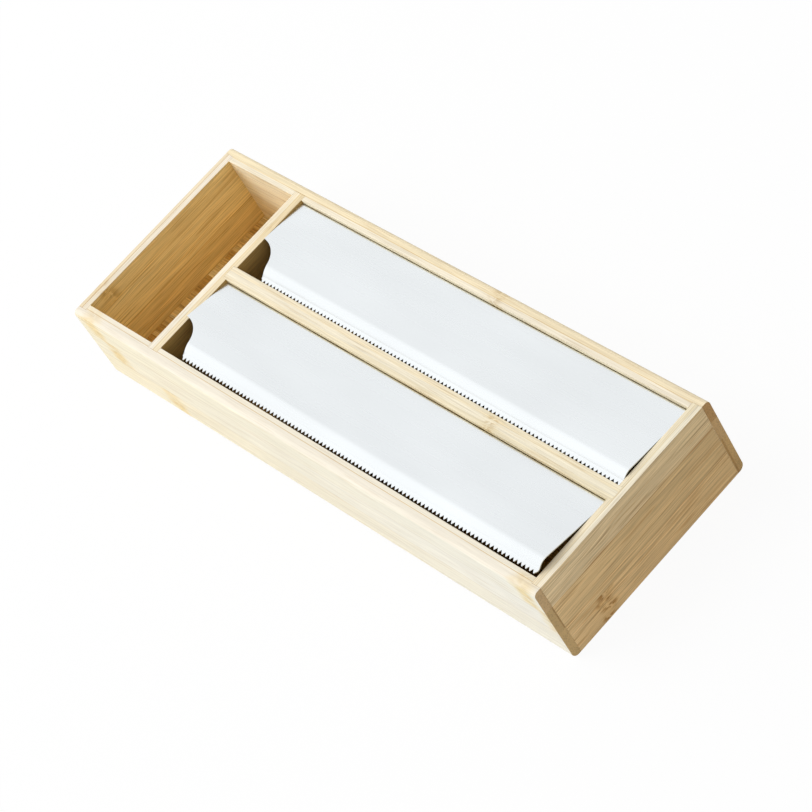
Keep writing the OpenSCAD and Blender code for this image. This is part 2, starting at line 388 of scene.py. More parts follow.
def painted_gap_shade(cane):
    """Painted shade about 1.5 mm wide on the front of the board behind a flap's rolled edge, in the gap
    there.
    """
    tree = cane.tree
    above_hinge = add(tree, MATH, cane.across, HINGE_Z, operation="SUBTRACT")
    from_hinge = add(tree, MATH, above_hinge, operation="ABSOLUTE")
    in_bay = add(tree, MATH, cane.grain, FLAP_LOW.x / MM, operation="GREATER_THAN")
    frontward = add(tree, MATH, cane.to_through, FRONT_TURN, operation="LESS_THAN")
    beside_flap = add(tree, MATH, in_bay, frontward, operation="MULTIPLY")
    painted_shade = add(tree, RANGE, from_hinge, *GAP_SHADE_FADE, 1.0, 0.0, **SOFT)
    return add(tree, MATH, painted_shade, beside_flap, operation="MULTIPLY")


def sawn_ends(cane, wood):
    """End grain: mottled with pores, toned by strip, with a dark joint through the board."""
    tree, board = cane.tree, cane.board
    plain = [(tone, 0.0) for edge, tone, knuckle in board["strips"]]
    tones = cane.flat_tones(cane.across, cane.across_span, [
        (strip[0], linear(tone)[:3] + (joint,))
        for strip, (tone, joint) in zip(board["strips"], board.get("ends", plain))
    ])
    pores = add(tree, "ShaderNodeTexVoronoi", named={
        "Vector": cane.place, "Scale": 1 / PORE, "Randomness": 1.0})
    mottle = add(tree, RANGE, pores, *PORE_RANGE, PORE_TONE, 1.0, **SOFT)
    toned = add(tree, MIX, 1.0, tones, wood.end_grain[:] + (1,), **TINT)
    mottled = add(tree, MIX, 1.0, toned, mottle, **TINT)
    past_joint = add(tree, MATH, cane.through, board.get("joint", 0.0), operation="SUBTRACT")
    from_joint = add(tree, MATH, past_joint, operation="ABSOLUTE")
    line = add(tree, RANGE, from_joint, *JOINT_FADE, 1.0, 0.0, **SOFT)
    joint = add(tree, MATH, line, tones.outputs["Alpha"], operation="MULTIPLY")
    return add(tree, MIX, joint, mottled, wood.fibre[:] + (1,), **TINT)


def plain_colour(cane, wood):
    """Colour before the figure: a side's colour, the edge colour with the plies, or the end grain."""
    tree, board = cane.tree, cane.board
    # Side colours carry painted light and shade: the pale front face is painted light, the bays' darker
    # left ends painted shade
    low_side, high_side = (getattr(wood, name)[:] + (1,) for name in board["sides"])
    side = add(tree, RANGE, cane.to_through, *SIDE_TURN)
    face = add(tree, MIX, side, low_side, high_side, **BLEND)
    share = add(tree, RANGE, cane.grain, *cane.grain_span)
    drift, rim = (add(tree, MIX, share, *map(linear, board[key]), **BLEND) for key in ("drift", "rim"))
    toned = add(tree, MIX, 1.0, face, cane.strips, **TINT)
    broad = add(tree, MIX, 1.0, toned, drift, **TINT)
    plies = cane.flat_tones(
        cane.through, cane.through_span, [(start, linear(tone)) for start, tone in board["plies"]])
    # The narrow edges take the edge colour, which is pale with painted light where the key light falls
    plies_in_painted_light = add(tree, MIX, 1.0, plies, wood.edge[:] + (1,), **TINT)
    narrow = add(tree, MIX, 1.0, plies_in_painted_light, rim, **TINT)
    long_sides = add(tree, MIX, cane.on_edge, broad, narrow, **BLEND)
    return add(tree, MIX, cane.on_end, long_sides, sawn_ends(cane, wood), **BLEND)


# Bamboo: strips of cane pressed side by side, sanded and thinly oiled. It shows fine fibres along each
# strip, a glue line between strips, dark bundles as thin lines, a warm ragged knuckle across each strip
# where the cane had a joint, and mottled ends. The arrises are worn a little darker. Painted light and
# shade come with it: pale lit faces, darker faces in the bays, and painted shade in the gap behind each
# flap's rolled edge.
def bamboo(name, wood):
    """Sanded bamboo for one board."""
    cane = Cane(name)
    tree, board = cane.tree, cane.board
    strength = board["figure"]
    bands = cane.figure(cane.waved, BAND, detail=2.0)
    fibres = cane.figure(cane.waved, FIBRE, detail=3.0, roughness=0.65)
    bundles = dark_bundles(cane)
    halo, flecks = knuckles(cane)

    # Fibres and bands lighten and darken it, then the marks are stained into it
    streaks = [
        add(tree, RANGE, figure, *NOISE_RANGE, 1 - depth * strength, 1 + depth * strength)
        for figure, depth in ((bands, BAND_DEPTH), (fibres, FIBRE_DEPTH))
    ]
    streak = add(tree, MATH, *streaks, operation="MULTIPLY")
    on_side = add(tree, RANGE, cane.on_edge, 0.0, 1.0, 1.0, EDGE_FIGURE)
    colour = add(tree, MIX, on_side, plain_colour(cane, wood), streak, **TINT)
    on_face = add(tree, RANGE, cane.on_end, 0.0, 1.0, on_side, 0.0)
    arris = add(tree, "ShaderNodeAttribute", attribute_name="arris").outputs["Fac"]
    marks = (
        (bundles, BUNDLE_STAIN * strength, wood.fibre),
        (halo, HALO_STAIN * board["halo"], wood.halo),
        (flecks, FLECK_STAIN * board["knot"], wood.knuckle),
        (glue_lines(cane, bands), GLUE_STAIN * strength, wood.fibre),
        (arris, ARRIS_STAIN * strength, wood.fibre),
        # Painted shade in the gap behind a flap's rolled edge, on the board behind it
        (painted_gap_shade(cane), board.get("rub", 0.0), wood.painted_shade),
    )
    for mark, full, stain in marks:
        shown = add(tree, MATH, mark, on_face, operation="MULTIPLY")
        amount = add(tree, MATH, shown, full, operation="MULTIPLY")
        colour = add(tree, MIX, amount, colour, stain[:] + (1,), **TINT)

    relief = add(tree, MATH, fibres, bundles, operation="SUBTRACT")
    bump = add(tree, "ShaderNodeBump", named={
        "Strength": RELIEF, "Distance": RELIEF_DEPTH, "Height": relief})
    gloss = add(tree, RANGE, fibres, *NOISE_RANGE, *WOOD_GLOSS)
    skin = add(tree, "ShaderNodeBsdfPrincipled", named={
        "Base Color": colour, "Roughness": gloss, "IOR": WOOD_IOR, "Specular IOR Level": WOOD_SHINE,
        "Normal": bump})
    add(tree, "ShaderNodeOutputMaterial", named={"Surface": skin})
    return cane.material


# Figure of the steel in millimetres along X, Y and Z, and tone and roughness where it is low and high
SHEET_LINES, SHEET_CLOUDS, ROD_LINES = (160, 5, 5), (90, 28, 28), (40, 0.25, 0.25)
SHEET_TONE, SHEET_GLOSS = (0.95, 1.0), (0.24, 0.3)
ROD_TONE, ROD_GLOSS = (0.9, 1.0), (0.24, 0.38)


def bare_steel(tree, colour, tone, gloss):
    """Skin of bare steel of a colour, with a tone and a roughness that vary over it."""
    base = add(tree, MIX, 1.0, colour[:] + (1,), tone, **TINT)
    skin = add(tree, "ShaderNodeBsdfPrincipled", named={
        "Base Color": base, "Metallic": 1.0, "Roughness": gloss})
    add(tree, "ShaderNodeOutputMaterial", named={"Surface": skin})


# Stainless sheet: cold rolled to a fine satin, which mirrors broad lights softly and hides small ones.
# Its rolling lines are a few hundredths of a millimetre apart, so only their drifts show, a few
# millimetres wide.
def stainless_sheet(steel):
    """Satin stainless sheet of the flaps."""
    material, tree = fresh_material("satin_stainless_sheet")
    place = millimetres(tree)
    lines = blotches(tree, place, SHEET_LINES, detail=2.0)
    clouds = blotches(tree, place, SHEET_CLOUDS, detail=2.0)
    tone = add(tree, RANGE, clouds, *NOISE_RANGE, *SHEET_TONE)
    gloss = add(tree, RANGE, lines, *NOISE_RANGE, *SHEET_GLOSS)
    bare_steel(tree, steel.sheet_colour, tone, gloss)
    return material


# Stainless rod: drawn through a die, so its fine scratches run along it and its gloss is even. They are a
# hundredth of a millimetre wide, and drawn at a quarter so that they show.
def stainless_rod(steel):
    """Drawn stainless rod of the hinges and pins."""
    material, tree = fresh_material("drawn_stainless_rod")
    lines = blotches(tree, millimetres(tree), ROD_LINES, detail=2.0)
    tone = add(tree, RANGE, lines, *NOISE_RANGE, *ROD_TONE)
    gloss = add(tree, RANGE, lines, *NOISE_RANGE, *ROD_GLOSS)
    bare_steel(tree, steel.rod_colour, tone, gloss)
    return material


# Boards: the distances that count as on the box and as one point, the turns between faces that count as
# flat, as an arris and as sharp in shading, and the faces across an eased arris
ON_BOX, BOARD_WELD = 0.01 * MM, 0.001 * MM
FLAT_TURN, ARRIS_TURN, BOARD_SHARP = math.radians(1), math.radians(40), math.radians(50)
ARRIS_FACES = 2


def eased_board(name, arris, chosen):
    """Copy of a CAD board with its arrises eased, all of them or the outline's, and those marked."""
    low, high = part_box(name)

    def on_outline(vert):
        """Whether a corner lies on at least two sides of the board's box."""
        sides = [min(abs(vert.co[i] - low[i]), abs(vert.co[i] - high[i])) < ON_BOX for i in range(3)]
        return sum(sides) > 1

    work = bmesh.new()
    work.from_mesh(frame["nodes"][name].data)
    layer = work.faces.layers.float.new("arris")
    bmesh.ops.remove_doubles(work, verts=work.verts, dist=BOARD_WELD)
    bmesh.ops.dissolve_limit(work, angle_limit=FLAT_TURN, verts=work.verts, edges=work.edges)
    corners = [
        edge for edge in work.edges
        if edge.is_manifold and edge.is_convex and edge.calc_face_angle() > ARRIS_TURN
        and (chosen == "all" or all(on_outline(vert) for vert in edge.verts))
    ]
    eased = bmesh.ops.bevel(
        work, geom=corners, offset=arris, offset_type="OFFSET", segments=ARRIS_FACES, profile=0.5,
        affect="EDGES", clamp_overlap=False)
    for face in eased["faces"]:
        face[layer] = 1.0
    for face in work.faces:
        face.smooth = True
    mesh = bpy.data.meshes.new(name + "_eased")
    work.to_mesh(mesh)
    work.free()
    mesh.set_sharp_from_angle(angle=BOARD_SHARP)
    return mesh


# Grid counts of a flap: rows round the rolled edge, over the panel, round the bend and down to the tooth
# roots, and columns to a tooth and round the finger notch
CURL_ROWS, PANEL_ROWS, BEND_ROWS, BAND_ROWS = 32, 10, 24, 6
TOOTH_COLUMNS, NOTCH_COLUMNS = 3, 36
FLAP_ROWS = CURL_ROWS + PANEL_ROWS + BEND_ROWS + BAND_ROWS + 1

# The sheet was folded over before it was rolled. A power below 1 on the circle's sine and cosine makes
# the rolled edge a little squarer behind and above its rod.
CURL_SQUARE = 0.85

# How far behind the crease its rounding may begin, the distance that counts as one point, the turn
# between faces that is sharp in shading, and the steps in which the crease is found
CREASE_BACK, FLAP_WELD = 1.5 * MM, 0.005 * MM
FLAP_SHARP = math.radians(30)
SOLVE_STEPS = 40

FLAP_MEASURES = (
    "Length", "Curl Radius", "Curl Wrap", "Panel", "Bend Radius", "Bend Reach", "Crease", "Crease Drop",
    "Crease Fillet", "Band Fall", "Root", "Tip", "Tooth Pitch", "Tooth Land", "Notch Radius",
    "Notch Offset", "Tilt", "Sag",
)


def toothed_edge(tree, given, column, last_tooth):
    """Place along the flap of a column of the grid, and how far forward the column reaches."""
    # From the right, three columns to a tooth: at its root and at both ends of the flat on its tip
    teeth_past = add(tree, MATH, column, float(TOOTH_COLUMNS), operation="DIVIDE")
    tooth = add(tree, MATH, teeth_past, operation="FLOOR")
    step = add(tree, MATH, tooth, -float(TOOTH_COLUMNS), column, operation="MULTIPLY_ADD")
    on_tip = add(tree, MATH, step, 0.5, operation="GREATER_THAN")
    half_pitch = add(tree, MATH, given["Tooth Pitch"], 0.5, operation="MULTIPLY")
    from_middle = add(tree, MATH, step, TOOTH_COLUMNS / 2, operation="SUBTRACT")
    tip_shift = add(tree, MATH, from_middle, given["Tooth Land"], half_pitch, operation="MULTIPLY_ADD")
    tooth_shift = add(tree, MATH, on_tip, tip_shift, operation="MULTIPLY")
    from_right = add(tree, MATH, tooth, given["Tooth Pitch"], tooth_shift, operation="MULTIPLY_ADD")
    tooth_x = add(tree, MATH, given["Length"], from_right, operation="SUBTRACT")
    tooth_end = add(tree, RANGE, on_tip, 0.0, 1.0, given["Root"], given["Tip"])

    # The finger notch's columns go round a quarter circle from the tooth roots to the flap's left end
    into_notch = add(tree, MATH, column, last_tooth, operation="SUBTRACT")
    last_sine = add(tree, MATH, given["Notch Offset"], given["Notch Radius"], operation="DIVIDE")
    last_angle = add(tree, MATH, last_sine, operation="ARCSINE")
    angle = add(tree, RANGE, into_notch, 1.0, NOTCH_COLUMNS + 1.0, math.pi / 2, last_angle)
    sine, cosine = (add(tree, MATH, angle, operation=wave) for wave in ("SINE", "COSINE"))
    right = add(tree, MATH, sine, given["Notch Radius"], operation="MULTIPLY")
    rear = add(tree, MATH, cosine, given["Notch Radius"], operation="MULTIPLY")
    notch_x = add(tree, MATH, right, given["Notch Offset"], operation="SUBTRACT")
    notch_end = add(tree, MATH, given["Root"], rear, operation="SUBTRACT")
    in_notch = add(tree, MATH, into_notch, 0.5, operation="GREATER_THAN")
    x = add(tree, RANGE, in_notch, 0.0, 1.0, tooth_x, notch_x)
    return x, add(tree, RANGE, in_notch, 0.0, 1.0, tooth_end, notch_end)


def section_run(tree, given, row):
    """Run of a grid row forward from the hinge axis. Below zero it goes back round the rolled edge."""
    bend_row = CURL_ROWS + PANEL_ROWS
    band_row = bend_row + BEND_ROWS
    tip_row = band_row + BAND_ROWS
    to_roots = add(tree, MATH, given["Root"], given["Crease"], operation="SUBTRACT")
    to_tips = add(tree, MATH, given["Tip"], given["Root"], operation="SUBTRACT")
    panel, sweep, band, teeth = (
        add(tree, RANGE, row, float(first), float(last), 0.0, length)
        for first, last, length in (
            (CURL_ROWS, bend_row, given["Panel"]),
            (bend_row, band_row, given["Bend Reach"]),
            (band_row, tip_row, to_roots),
            (tip_row, FLAP_ROWS, to_tips),
        )
    )
    bend_sine = add(tree, MATH, sweep, operation="SINE")
    bend = add(tree, MATH, bend_sine, given["Bend Radius"], operation="MULTIPLY")
    curl = add(tree, MATH, given["Curl Wrap"], given["Curl Radius"], operation="MULTIPLY")
    rear = add(tree, MATH, curl, -1.0, operation="MULTIPLY")
    run = add(tree, RANGE, row, 0.0, float(CURL_ROWS), rear, 0.0)
    for part in (panel, bend, band, teeth):
        run = add(tree, MATH, run, part, operation="ADD")
    return run


def section_place(tree, given, run):
    """Place of a run on the section, ahead and up: circles for rolled edge and bend, then the band."""
    forward = add(tree, MATH, run, 0.0, operation="MAXIMUM")
    backward = add(tree, MATH, run, 0.0, operation="MINIMUM")
    back = add(tree, MATH, backward, given["Curl Radius"], operation="DIVIDE")
    over = add(tree, MATH, back, -math.pi / 2, operation="GREATER_THAN")
    power = add(tree, RANGE, over, 0.0, 1.0, 1.0, CURL_SQUARE)
    curl = []
    for wave in ("SINE", "COSINE"):
        share = add(tree, MATH, back, operation=wave)
        size = add(tree, MATH, share, operation="ABSOLUTE")
        squared = add(tree, MATH, size, power, operation="POWER")
        sign = add(tree, MATH, share, operation="SIGN")
        signed = add(tree, MATH, squared, sign, operation="MULTIPLY")
        curl.append(add(tree, MATH, signed, given["Curl Radius"], operation="MULTIPLY"))
    curl_ahead, curl_up = curl

    from_panel = add(tree, MATH, forward, given["Panel"], operation="SUBTRACT")
    past_panel = add(tree, MATH, from_panel, 0.0, operation="MAXIMUM")
    bend_share = add(tree, MATH, past_panel, given["Bend Radius"], operation="DIVIDE")
    sine = add(tree, MATH, bend_share, 1.0, operation="MINIMUM")
    angle = add(tree, MATH, sine, operation="ARCSINE")
    cosine = add(tree, MATH, angle, operation="COSINE")
    drop_share = add(tree, MATH, 1.0, cosine, operation="SUBTRACT")
    bend_fall = add(tree, MATH, drop_share, given["Bend Radius"], operation="MULTIPLY")
    from_crease = add(tree, MATH, forward, given["Crease"], operation="SUBTRACT")
    past_crease = add(tree, MATH, from_crease, -CREASE_BACK, operation="MAXIMUM")
    band_fall = add(
        tree, MATH, past_crease, given["Band Fall"], given["Crease Drop"], operation="MULTIPLY_ADD")
    fall = add(tree, MATH, bend_fall, band_fall, given["Crease Fillet"], operation="SMOOTH_MIN")
    ahead = add(tree, MATH, curl_ahead, forward, operation="ADD")
    return ahead, add(tree, MATH, curl_up, fall, operation="SUBTRACT")


def flap_tree():
    """Geometry nodes of a toothed flap: a grid with rows along its section and columns along its teeth."""
    tree = bpy.data.node_groups.new("toothed_flap", "GeometryNodeTree")
    tree.interface.new_socket(name="Mesh", in_out="OUTPUT", socket_type="NodeSocketGeometry")
    kinds = {name: "Float" for name in FLAP_MEASURES}
    for name, kind in {**kinds, "Teeth": "Int", "Hinge": "Vector", "Material": "Material"}.items():
        tree.interface.new_socket(name=name, in_out="INPUT", socket_type="NodeSocket" + kind)
    given = add(tree, "NodeGroupInput").outputs

    last_tooth = add(tree, MATH, given["Teeth"], float(TOOTH_COLUMNS), operation="MULTIPLY")
    last_column = add(tree, MATH, last_tooth, NOTCH_COLUMNS + 1.0, operation="ADD")
    columns = add(tree, MATH, last_column, 1.0, operation="ADD")
    grid = add(tree, "GeometryNodeMeshGrid", named={
        "Size X": last_column, "Size Y": float(FLAP_ROWS),
        "Vertices X": columns, "Vertices Y": FLAP_ROWS + 1})
    spot = add(tree, "ShaderNodeSeparateXYZ", add(tree, "GeometryNodeInputPosition"))
    from_first = add(tree, MATH, last_column, 0.5, spot.outputs["X"], operation="MULTIPLY_ADD")
    column = add(tree, MATH, from_first, operation="ROUND")
    from_rear = add(tree, MATH, spot.outputs["Y"], FLAP_ROWS / 2, operation="ADD")
    row = add(tree, MATH, from_rear, operation="ROUND")
    x, end = toothed_edge(tree, given, column, last_tooth)
    run = add(tree, MATH, section_run(tree, given, row), end, operation="MINIMUM")
    ahead, up = section_place(tree, given, run)
    y = add(tree, MATH, ahead, -1.0, operation="MULTIPLY")
    flat = add(tree, "ShaderNodeCombineXYZ", x, y, up)

    # The thin sheet turns down a little about its hinge between its ends, most midway, where hang is 1
    share = add(tree, MATH, x, given["Length"], operation="DIVIDE")
    rest = add(tree, MATH, 1.0, share, operation="SUBTRACT")
    product = add(tree, MATH, share, rest, operation="MULTIPLY")
    hang = add(tree, MATH, product, 4.0, operation="MULTIPLY")
    sag = add(tree, MATH, hang, given["Sag"], operation="MULTIPLY")
    sagged = add(
        tree, "ShaderNodeVectorRotate", named={"Vector": flat, "Angle": sag}, rotation_type="X_AXIS")
    bent = add(tree, "GeometryNodeSetPosition", named={"Geometry": grid, "Position": sagged})
    joined = add(tree, "GeometryNodeMergeByDistance", named={"Geometry": bent, "Distance": FLAP_WELD})
    down = add(tree, MATH, given["Tilt"], -1.0, operation="MULTIPLY")
    turned = add(tree, "GeometryNodeTransform", named={
        "Geometry": joined, "Translation": given["Hinge"],
        "Rotation": add(tree, "ShaderNodeCombineXYZ", down)})
    real = add(tree, "GeometryNodeRealizeInstances", named={"Geometry": turned})
    painted = add(tree, "GeometryNodeSetMaterial", named={"Geometry": real, "Material": given["Material"]})
    add(tree, "NodeGroupOutput", painted)
    return tree


def crease_reach(start, bend_r, bend_run, drop, slope):
    """Angle round a bend of the middle surface where a band that falls with this slope leaves it."""
    reach = start
    for _ in range(SOLVE_STEPS):
        gap = bend_r * (1 - math.cos(reach)) - drop - (bend_r * math.sin(reach) - bend_run) * slope
        reach -= gap / (bend_r * (math.sin(reach) - math.cos(reach) * slope))
    return reach


def flap_sizes(steel):
    """Sizes of a flap's middle surface, from the sizes of its sheet."""
    half = steel.sheet_t / 2
    curl_r = steel.rod_d / 2 + steel.curl_gap + half
    bend_run = steel.bend_r * math.sin(steel.bend_angle)
    bend_drop = steel.bend_r * (1 - math.cos(steel.bend_angle))
    slope, slant = math.tan(steel.band_slope), math.cos(steel.band_slope)
    band_drop = steel.band_l * math.sin(steel.band_slope)
    tip_low = curl_r + half - bend_drop - band_drop - steel.sheet_t / slant
    tip = math.sqrt(steel.tip_reach ** 2 - tip_low ** 2)
    panel = tip - bend_run - steel.band_l * slant
    bend_r = steel.bend_r - half
    reach = crease_reach(steel.bend_angle, bend_r, bend_run, bend_drop + half / slant - half, slope)
    length = FLAP_HIGH.x - FLAP_LOW.x
    toothed = length - steel.notch_r + steel.notch_offset - steel.notch_flat
    teeth = round(toothed / steel.tooth_pitch)
    return {
        "Length": length, "Curl Radius": curl_r, "Curl Wrap": steel.curl_wrap, "Panel": panel,
        "Bend Radius": bend_r, "Bend Reach": reach, "Crease": panel + bend_r * math.sin(reach),
        "Crease Drop": bend_r * (1 - math.cos(reach)), "Crease Fillet": steel.crease_fillet,
        "Band Fall": slope, "Root": tip - steel.tooth_depth, "Tip": tip,
        "Teeth": teeth, "Tooth Pitch": toothed / teeth,
        "Tooth Land": steel.tooth_land, "Notch Radius": steel.notch_r, "Notch Offset": steel.notch_offset,
    }


def colour_setting(name, description, tone):
    """Colour that a user may change, from an sRGB hex colour."""
    return FloatVectorProperty(
        name=name, description=description, size=3, subtype="COLOR", default=linear(tone)[:3])


def length_setting(name, description, default, low, high):
    """Length that a user may change, given in millimetres."""
    return FloatProperty(
        name=name, description=description, default=default * MM, min=low * MM, max=high * MM, precision=5,
        unit="LENGTH")


def angle_setting(name, description, default, low, high):
    """Angle that a user may change, given in degrees."""
    return FloatProperty(
        name=name, description=description, default=math.radians(default), min=math.radians(low),
        max=math.radians(high), subtype="ANGLE")


class DispenserWood(bpy.types.PropertyGroup):
    """Colours of the bamboo, some of them painted light and shade, and how far its edges are eased"""
    arris: length_setting("Arris", "Width of the eased edge along each board", 0.2, 0.1, 0.8)
    # The front face is paler as painted light, where the key light falls on it
    pale: colour_setting("Front face", "Palest bamboo, on the front", "#F5ECDF")
    cream: colour_setting("Outer faces", "Bamboo of the back and the left end", "#EEDFC0")
    tan: colour_setting("Right end", "Browner bamboo of the right end", "#E3C595")
    # Painted shade on the cross divider's side inside the bays, which lie in shade under the flaps
    painted_bay_shade: colour_setting("Bay ends", "Darker bamboo at the bays' left ends", "#C6A362")
    inner: colour_setting("Bays", "Bamboo round the film bays", "#FDF1D2")
    honey: colour_setting("Tray", "Yellower bamboo of the tray", "#EFD596")
    # The narrow edges along the rim are paler as painted light, where the key light falls on them
    edge: colour_setting("Sanded edges", "Narrow edges along the rim", "#F4ECDE")
    end_grain: colour_setting("End grain", "Sawn ends of the boards", "#C5A573")
    fibre: colour_setting("Fibres", "Stain of the dark bundles and glue lines", "#BFA068")
    halo: colour_setting("Round the knuckles", "Warm stain on both sides of a knuckle", "#F8DC86")
    knuckle: colour_setting("Knuckles", "Stain where the cane had a joint", "#B89A58")
    # Colour of the painted shade in the gap behind each flap's rolled edge
    painted_shade: colour_setting("Rub marks", "Stain beside the flaps' rolled edges", "#A39782")


class DispenserSteel(bpy.types.PropertyGroup):
    """Sizes of the flaps' bent sheet, and colours of the steel"""
    sheet_t: length_setting("Sheet", "Thickness of the sheet", 0.6, 0.3, 1.5)
    rod_d: length_setting("Rod", "Diameter of the hinge rods", 1.6, 1, 4)
    curl_gap: length_setting("Curl gap", "Clearance of the rolled edge on its rod", 0.06, 0, 0.5)
    curl_wrap: angle_setting("Curl wrap", "How far the rolled edge wraps round its rod", 290, 180, 320)
    bend_r: length_setting("Bend", "Outer radius of the bend behind the toothed band", 8, 4, 16)
    bend_angle: angle_setting("Bend angle", "How far the bend turns down", 58, 30, 75)
    crease_fillet: length_setting("Crease", "Depth over which the bend rounds into the band", 1, 0.1, 2)
    band_l: length_setting("Band", "Length of the toothed band from crease to tips", 3.5, 2.5, 8)
    band_slope: angle_setting("Band slope", "Fall of the toothed band against the panel", 15, 0, 30)
    tip_reach: length_setting("Reach", "Distance from the hinge axis to the tooth tips", 55.84, 40, 80)
    tooth_pitch: length_setting("Tooth pitch", "Distance from tooth to tooth", 3.2, 2, 6)
    tooth_depth: length_setting("Tooth depth", "Depth of the gaps between the teeth", 2, 1, 3)
    tooth_land: length_setting("Tooth flat", "Width of the flat on a tooth's tip", 0.3, 0.05, 1)
    notch_r: length_setting("Notch", "Radius of the finger notch", 22, 10, 40)
    notch_offset: length_setting("Notch offset", "From the notch's centre to the flap's left end", 2, 0, 12)
    notch_flat: length_setting("Notch flat", "Flat between the notch and the nearest tooth", 0.6, 0, 2)
    front_tilt: angle_setting("Front tilt", "Tilt of the closed front flap", 9, 0, 12)
    back_tilt: angle_setting("Back tilt", "Tilt of the closed back flap", 5, 0, 12)
    front_sag: angle_setting("Front sag", "Turn of the front flap's middle below its ends", 1.6, 0, 3)
    back_sag: angle_setting("Back sag", "Turn of the back flap's middle below its ends", 0, 0, 3)
    sheet_colour: colour_setting("Sheet colour", "Satin stainless sheet", "#ECF0F2")
    rod_colour: colour_setting("Rod colour", "Drawn stainless rod", "#C4C7CA")


class DispenserStage(bpy.types.PropertyGroup):
    """Floor, light and lens"""
    key_power: FloatProperty(
        name="Key light", description="Power of the softbox over the left of the box", default=88.0,
        min=0.0, unit="POWER")
    fill: FloatProperty(
        name="Fill", description="Strength of the light from all round", default=0.6, min=0.0, max=1.0,
        subtype="FACTOR")
    floor_colour: colour_setting("Floor", "Pale floor", "#F4F4F4")
    lens: FloatProperty(
        name="Lens", description="Focal length of the camera", default=148.6, min=20.0, unit="CAMERA")


class DISPENSER_OT_boards(bpy.types.Operator):
    """Ease the arrises of the six upright boards and give each its bamboo"""
    bl_idname = "dispenser.boards"
    bl_label = "Bamboo boards"

    def execute(self, context):
        wood = context.scene.dispenser_wood
        for name in UPRIGHTS:
            mesh = eased_board(name, wood.arris, BOARDS[name]["ease"])
            piece = show_mesh("eased_" + name, mesh, bamboo(name, wood))
            piece.modifiers.new("even_faces", "WEIGHTED_NORMAL").keep_sharp = True
            piece.data = baked_mesh(piece, mesh.name)
            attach(piece, "box")
            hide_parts(name)
        return {"FINISHED"}


class DISPENSER_OT_floor_panel(bpy.types.Operator):
    """Give the floor of the box its narrow bamboo strips"""
    bl_idname = "dispenser.floor_panel"
    bl_label = "Bamboo floor"

    def execute(self, context):
        panel = frame["nodes"]["base_panel"]
        panel.data.materials.clear()
        panel.data.materials.append(bamboo("base_panel", context.scene.dispenser_wood))
        return {"FINISHED"}


class DISPENSER_OT_flaps(bpy.types.Operator):
    """Bend the two toothed flaps out of sheet and set them on their hinges"""
    bl_idname = "dispenser.flaps"
    bl_label = "Toothed flaps"

    def execute(self, context):
        steel = context.scene.dispenser_steel
        material = stainless_sheet(steel)
        tree = flap_tree()
        sockets = {
            item.name: item.identifier for item in tree.interface.items_tree if item.in_out == "INPUT"}
        for name, tilt, sag in (("front_flap", steel.front_tilt, steel.front_sag),
                                ("back_flap", steel.back_tilt, steel.back_sag)):
            hinge = HINGES[name].copy()
            hinge.x = FLAP_LOW.x
            maker = show_mesh("bent_" + name, bpy.data.meshes.new(name + "_blank"), material)
            shape = maker.modifiers.new("toothed_flap", "NODES")
            shape.node_group = tree
            settings = {"Tilt": tilt, "Sag": sag, "Hinge": hinge, "Material": material}
            for key, value in {**flap_sizes(steel), **settings}.items():
                shape[sockets[key]] = value
            wall = maker.modifiers.new("sheet", "SOLIDIFY")
            wall.thickness, wall.offset, wall.use_even_offset = steel.sheet_t, 0.0, True
            maker.data = baked_mesh(maker, name + "_sheet")
            maker.data.shade_smooth()
            maker.data.set_sharp_from_angle(angle=FLAP_SHARP)
            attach(maker, name)
            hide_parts(name)
        return {"FINISHED"}


class DISPENSER_OT_hinges(bpy.types.Operator):
    """Finish the hinge rods and rest pins"""
    bl_idname = "dispenser.hinges"
    bl_label = "Rods and pins"

    def execute(self, context):
        material = stainless_rod(context.scene.dispenser_steel)
        for name in ("front_hinge_rod", "back_hinge_rod", "flap_rest_pins"):
            rod = frame["nodes"][name]
            rod.data.materials.clear()
            rod.data.materials.append(material)
        return {"FINISHED"}


# Stage, in metres: softbox over the left front, lens over the right front, turned clockwise, and floor
KEY_PLACE, KEY_SIZE = Vector((-2.05, -1.39, 2.18)), 3.0
LENS_PLACE, LENS_AIM = Vector((1.3066, -0.4620, 1.4024)), Vector((-0.00935, 0.00371, 0.0))
LENS_ROLL = math.radians(-33.251)
FLOOR_HALF, FLOOR_DROP = 6.0, 0.1 * MM

# Width of the camera's sensor in millimetres
SENSOR = 36.0

# Share of the floor that is plain white to the lens, which leaves the shadow as a trace
FLOOR_WHITE = 0.93

# The key light's glow in the steel: its strength, and the cosines where it begins and is full
GLOW, GLOW_RANGE = 0.19, (0.62, 0.95)


def studio_floor(colour):
    """Pale floor that is white to the lens and to the steel, and keeps a trace of shadow."""
    material, tree = fresh_material("studio_floor")
    path = add(tree, "ShaderNodeLightPath").outputs
    seen = path["Is Camera Ray"]
    for ray in ("Is Glossy Ray", "Is Transmission Ray"):
        seen = add(tree, MATH, seen, path[ray], operation="MAXIMUM")
    share = add(tree, MATH, seen, FLOOR_WHITE, operation="MULTIPLY")
    matt = add(tree, "ShaderNodeBsdfDiffuse", named={"Color": tuple(colour) + (1,)})
    white = add(tree, "ShaderNodeEmission", named={"Color": (1, 1, 1, 1), "Strength": 1.0})
    mixed = add(tree, "ShaderNodeMixShader", share, matt, white)
    add(tree, "ShaderNodeOutputMaterial", named={"Surface": mixed})
    return material


